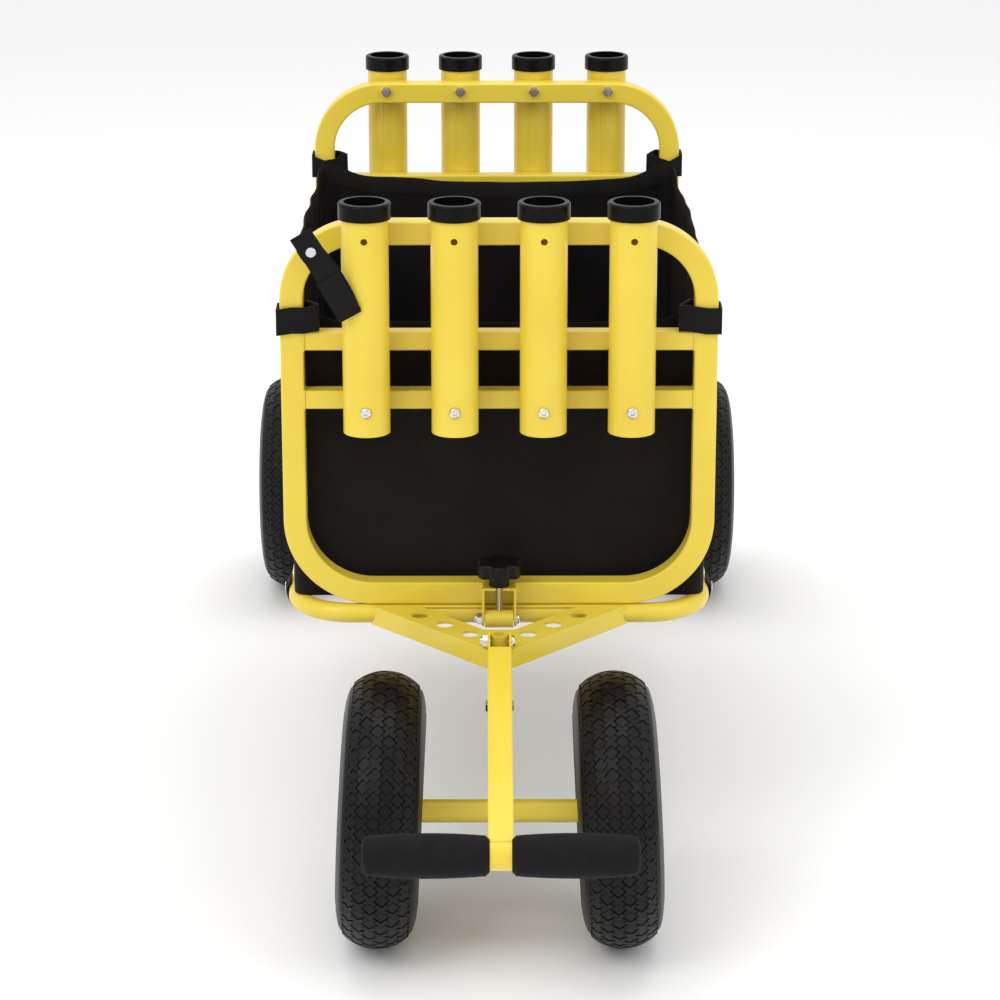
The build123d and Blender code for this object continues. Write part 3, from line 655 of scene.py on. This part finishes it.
def roundedPath(corners, radius, steps=5):
    # a closed level path through the corners, rounded at each
    path = []
    count = len(corners)
    for k, corner in enumerate(corners):
        before, after = corners[k - 1], corners[(k + 1) % count]
        enter = corner + (before - corner).normalized() * radius
        leave = corner + (after - corner).normalized() * radius
        for step in range(steps + 1):
            t = step / steps
            path.append(enter * (1 - t) ** 2 + corner * 2 * t * (1 - t) + leave * t**2)
    return path


postLoop = {"slack": 0.0026, "inner": 0.0115, "dip": 0.007}


def addPostStraps(finishes):
    for end, outward in (("front", -1), ("rear", 1)):
        low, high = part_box(end + "_post_straps")
        frameLow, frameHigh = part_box(end + "_frame_loop")
        tube = frameHigh.y - frameLow.y
        slack = postLoop["slack"]
        towardCamera = frameLow.y - slack
        away = frameHigh.y + slack
        z = (low.z + high.z) / 2
        pieces, areas = [], []
        for side in (-1, 1):
            outer = side * (frameHigh.x + slack)
            post = side * (frameHigh.x - tube - slack)
            inner = post - side * postLoop["inner"]
            corners = [Vector((outer, towardCamera, z)), Vector((post, towardCamera, z)),
                       Vector((inner, towardCamera + 0.0015, z)), Vector((inner, towardCamera + 0.0045, z)),
                       Vector((post, away, z)), Vector((outer, away, z))]
            path = roundedPath(corners, 0.0014, 4)
            path = [a.lerp(b, t) for a, b in zip(path, path[1:] + path[:1]) for t in (0, 0.5)]
            ways = []
            for place in path:
                share = (place.x - outer) / (inner - outer)
                tall = webbing["width"]
                if end == "rear":
                    # the loop is gathered round the post: its top edge dips in front of it
                    facing = place.y < (towardCamera + away) / 2
                    tall -= postLoop["dip"] * math.sin(math.pi * min(1, share * 1.25)) * facing
                    place.z -= (webbing["width"] - tall) / 2 + 0.002
                else:
                    place.z += 0.0035 * share - 0.004
                place.z += 0.0006 * math.sin(9 * share + side)
                twist = 0.0008 * side * math.sin(7 * share)
                ways.append(Vector((twist, outward * 0.0007 * math.sin(9 * share), tall)))
            strap, area = strapAlong("loop", path, ways, closed=True)
            pieces.append(strap)
            areas.append(area)
        loops = joinPieces(end + "PostLoops", pieces)
        dress(loops, finishes, "webbing", end + "_frame")
        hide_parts(end + "_post_straps")
    print("post loops sewn")


ringLoop = {"start": -228, "turn": 276, "steps": 30, "hang": 0.0085}


def addFloorStraps(finishes):
    low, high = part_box("floor_straps")
    ringLow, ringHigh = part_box("chassis_ring")
    tube = (ringHigh.z - ringLow.z) / 2
    axisZ = (ringHigh.z + ringLow.z) / 2
    pieces, areas = [], []
    for side in (-1, 1):
        for y in (low.y + webbing["width"] / 2, high.y - webbing["width"] / 2):
            axis = Vector((side * (ringHigh.x - tube), y, axisZ))
            path, ways = [], []
            for k in range(ringLoop["steps"] + 1):
                turn = math.radians(ringLoop["start"] + ringLoop["turn"] * k / ringLoop["steps"])
                reach = tube + 0.0017
                hang = ringLoop["hang"] * max(0, -math.sin(turn)) ** 1.5
                across = math.cos(turn) * (reach + 0.0006) * side
                path.append(axis + Vector((across, 0, math.sin(turn) * reach - hang)))
                ways.append(Vector((0, webbing["width"], 0.0012 * math.sin(2 * turn))))
            strap, area = strapAlong("loop", path, ways)
            pieces.append(strap)
            areas.append(area)
    loops = joinPieces("ringLoops", pieces)
    dress(loops, finishes, "webbing", "chassis")
    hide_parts("floor_straps")
    print("ring loops sewn")


keeper = {"lean": 30, "length": 0.089, "width": 0.0215, "layer": 0.0008, "spread": 0.0034, "patch": 0.040}


def addHandleStrap(finishes):
    low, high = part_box("handle_strap")
    centre = (low + high) / 2
    lean = Matrix.Rotation(math.radians(-keeper["lean"]), 3, "Y")
    half = keeper["length"] / 2
    front, back = -keeper["layer"], keeper["layer"]
    path, ways = [], []

    def lay(along, deep, slide, wide):
        path.append(centre + lean @ Vector((slide, deep, along)))
        ways.append(lean @ Vector((wide, 0, 0.0008 * math.sin(along * 60))))

    # down the front, round the fold, and back up behind with a little sideways spread
    for k in range(13):
        t = k / 12
        lay(half - 2 * half * t, front, 0.0012 * math.sin(math.pi * t), keeper["width"] + 0.0015 * t)
    for k in range(1, 4):
        turn = math.pi * k / 4
        lay(-half - 0.0008 * math.sin(turn), -keeper["layer"] * math.cos(turn), 0, keeper["width"] + 0.0015)
    for k in range(11):
        t = k / 10
        slide = keeper["spread"] * math.sin(math.pi * min(1, t * 1.15)) ** 0.8
        lay(-half + (2 * half - 0.012) * t, back, slide, keeper["width"] + 0.001)
    strap, area = strapAlong("keeperBand", path, ways, thick=0.0014)
    path, ways = [], []
    for k in range(9):
        t = k / 8
        lay(-half + 0.001 + keeper["patch"] * t, front - 0.0013, 0.0008, keeper["width"] + 0.0022)
    patch, patchArea = strapAlong("keeperPatch", path, ways, thick=0.0011)
    strap = joinPieces("handleKeeper", [strap, patch])
    dress(strap, finishes, "webbing", "front_frame")
    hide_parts("handle_strap")
    print("handle strap folded")


def addGrips(finishes):
    for side in ("left", "right"):
        node = nodes[side + "_grip"]
        pick(node)
        grip = node.copy()
        grip.data = node.data.copy()
        grip.parent = None
        bpy.context.collection.objects.link(grip)
        for key in list(grip.keys()):
            del grip[key]
        pick(grip)
        grip.name = side + "FoamGrip"
        bpy.ops.object.mode_set(mode="EDIT")
        bpy.ops.mesh.select_all(action="SELECT")
        bpy.ops.mesh.remove_doubles(threshold=1e-6)
        bpy.ops.object.mode_set(mode="OBJECT")
        smooth(grip, 35)
        dress(grip, finishes, "foam", "handle")
        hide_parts(side + "_grip")


seam = {"turn": 13, "width": 0.0016, "proud": 0.00050}
weld = {"size": 0.0013, "step": 0.0022, "ripple": (0.86, 0.22), "unevenness": 0.05}


def addRodSeams(finishes):
    # the rolled tubes' own weld line, on the side that faces into the basket
    for end, facing in (("front", 1), ("rear", -1)):
        low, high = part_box(end + "_rod_tubes")
        radius = (high.y - low.y) / 2
        axisY = (low.y + high.y) / 2
        first, last = low.x + radius, high.x - radius
        strips = []
        for k in range(4):
            x = first + (last - first) * k / 3
            turn = math.radians(seam["turn"])
            bpy.ops.mesh.primitive_cube_add(size=1)
            strip = named("rodSeam")
            strip.data.transform(Matrix.Diagonal((seam["width"], 0.0012, high.z - low.z - 0.004, 1)))
            edge = strip.modifiers.new("edge", "BEVEL")
            edge.width = 0.0003
            applyAll(strip)
            out = radius + seam["proud"] - 0.0006
            spin = Matrix.Rotation(-turn * facing, 4, "Z")
            y = axisY + facing * math.cos(turn) * out
            place = Vector((x - math.sin(turn) * out, y, (low.z + high.z) / 2))
            strip.data.transform(Matrix.Translation(place) @ spin)
            strips.append(strip)
        dress(joinPieces(end + "RodSeams", strips), finishes, "yellow", end + "_frame")


def weldBead(name, path, closed=True):
    # a rippled bead along the path
    steps = []
    count = len(path)
    for k in range(count if closed else count - 1):
        a, b = path[k], path[(k + 1) % count]
        pieces = max(1, round((b - a).length / weld["step"]))
        steps += [a.lerp(b, j / pieces) for j in range(pieces)]
    if not closed:
        steps.append(path[-1])
    line = bpy.data.curves.new(name, "CURVE")
    line.dimensions = "3D"
    line.bevel_depth = weld["size"]
    line.bevel_resolution = 2
    spline = line.splines.new("POLY")
    spline.points.add(len(steps) - 1)
    for k, place in enumerate(steps):
        spline.points[k].co = (*place, 1)
        uneven = random.uniform(-weld["unevenness"], weld["unevenness"])
        spline.points[k].radius = weld["ripple"][0] + weld["ripple"][1] * (k % 2) + uneven
    spline.use_cyclic_u = closed
    bead = bpy.data.objects.new(name, line)
    bpy.context.collection.objects.link(bead)
    pick(bead)
    bpy.ops.object.convert(target="MESH")
    return smooth(bpy.context.object, 60)


def addWelds(finishes):
    for end in ("front", "rear"):
        frameLow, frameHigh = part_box(end + "_frame_loop")
        low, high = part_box(end + "_crossbars")
        tube = frameHigh.y - frameLow.y
        size = high.y - low.y
        beads = []
        for side in (-1, 1):
            x = side * (frameHigh.x - tube + 0.0002)
            for z in (low.z + size / 2, high.z - size / 2):
                half = size / 2
                corners = ((-1, -1), (1, -1), (1, 1), (-1, 1))
                ring = [Vector((x, (low.y + high.y) / 2 + a * half, z + b * half)) for a, b in corners]
                beads.append(weldBead("bead", ring))
        low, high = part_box(end + "_hinge_bracket")
        face = frameLow.y if end == "front" else frameHigh.y
        for side in (-1, 1):
            x = side * (high.x + 0.0004)
            line = [Vector((x, face, frameLow.z + 0.003)), Vector((x, face, high.z - 0.003))]
            beads.append(weldBead("bead", line, closed=False))
        dress(joinPieces(end + "FrameWelds", beads), finishes, "yellow", end + "_frame")
    low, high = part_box("handle_crossbar")
    radius = (high.z - low.z) / 2
    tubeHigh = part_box("handle_tube")[1]
    beads = []
    for side in (-1, 1):
        x = side * (tubeHigh.x + 0.0003)
        arc = []
        for k in range(9):
            turn = math.radians(20 + 140 * k / 8)
            y = (low.y + high.y) / 2 + math.sin(turn) * radius * 0.99
            arc.append(Vector((x, y, (low.z + high.z) / 2 + math.cos(turn) * radius * 0.99)))
        beads.append(weldBead("bead", arc, closed=False))
    dress(joinPieces("handleWelds", beads), finishes, "yellow", "handle")
    low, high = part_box("front_axle_tube")
    postLow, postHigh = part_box("steering_post")
    centre = (low + high) / 2
    reach = (postHigh.x - postLow.x) / 2
    foot = []
    for k in range(28):
        turn = 2 * math.pi * k / 28
        y = reach * math.sin(turn)
        z = centre.z + math.sqrt(((high.z - low.z) / 2) ** 2 - y**2)
        foot.append(Vector((reach * math.cos(turn), centre.y + y, z)))
    dress(weldBead("postWeld", foot), finishes, "yellow", "steering")
    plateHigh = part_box("drawbar_plate")[1]
    ringLow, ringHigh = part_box("chassis_ring")
    ringRadius = (ringHigh.z - ringLow.z) / 2
    beads = []
    for side in (-1, 1):
        x = side * (plateHigh.x - 0.006)
        path = []
        for k in range(7):
            turn = math.radians(50 - 95 * k / 6)
            y = ringLow.y + ringRadius - ringRadius * math.cos(turn)
            path.append(Vector((x, y, (ringLow.z + ringHigh.z) / 2 + ringRadius * math.sin(turn))))
        beads.append(weldBead("bead", path, closed=False))
    z = plateHigh.z - 0.0012
    line = [Vector((side * (plateHigh.x - 0.01), plateHigh.y - 0.0008, z)) for side in (-1, 1)]
    beads.append(weldBead("bead", line, closed=False))
    dress(joinPieces("drawbarWelds", beads), finishes, "yellow", "chassis")
    print("welds laid")


def main():
    setCamera()
    setStudio()
    print("camera and light set")
    finishes = makeFinishes()
    paintFrame(finishes)
    print("finishes made")
    addTyres(finishes)
    addLiner(finishes, addHem(finishes))
    addPostStraps(finishes)
    addFloorStraps(finishes)
    addHandleStrap(finishes)
    addGrips(finishes)
    addRodSeams(finishes)
    addWelds(finishes)


main()
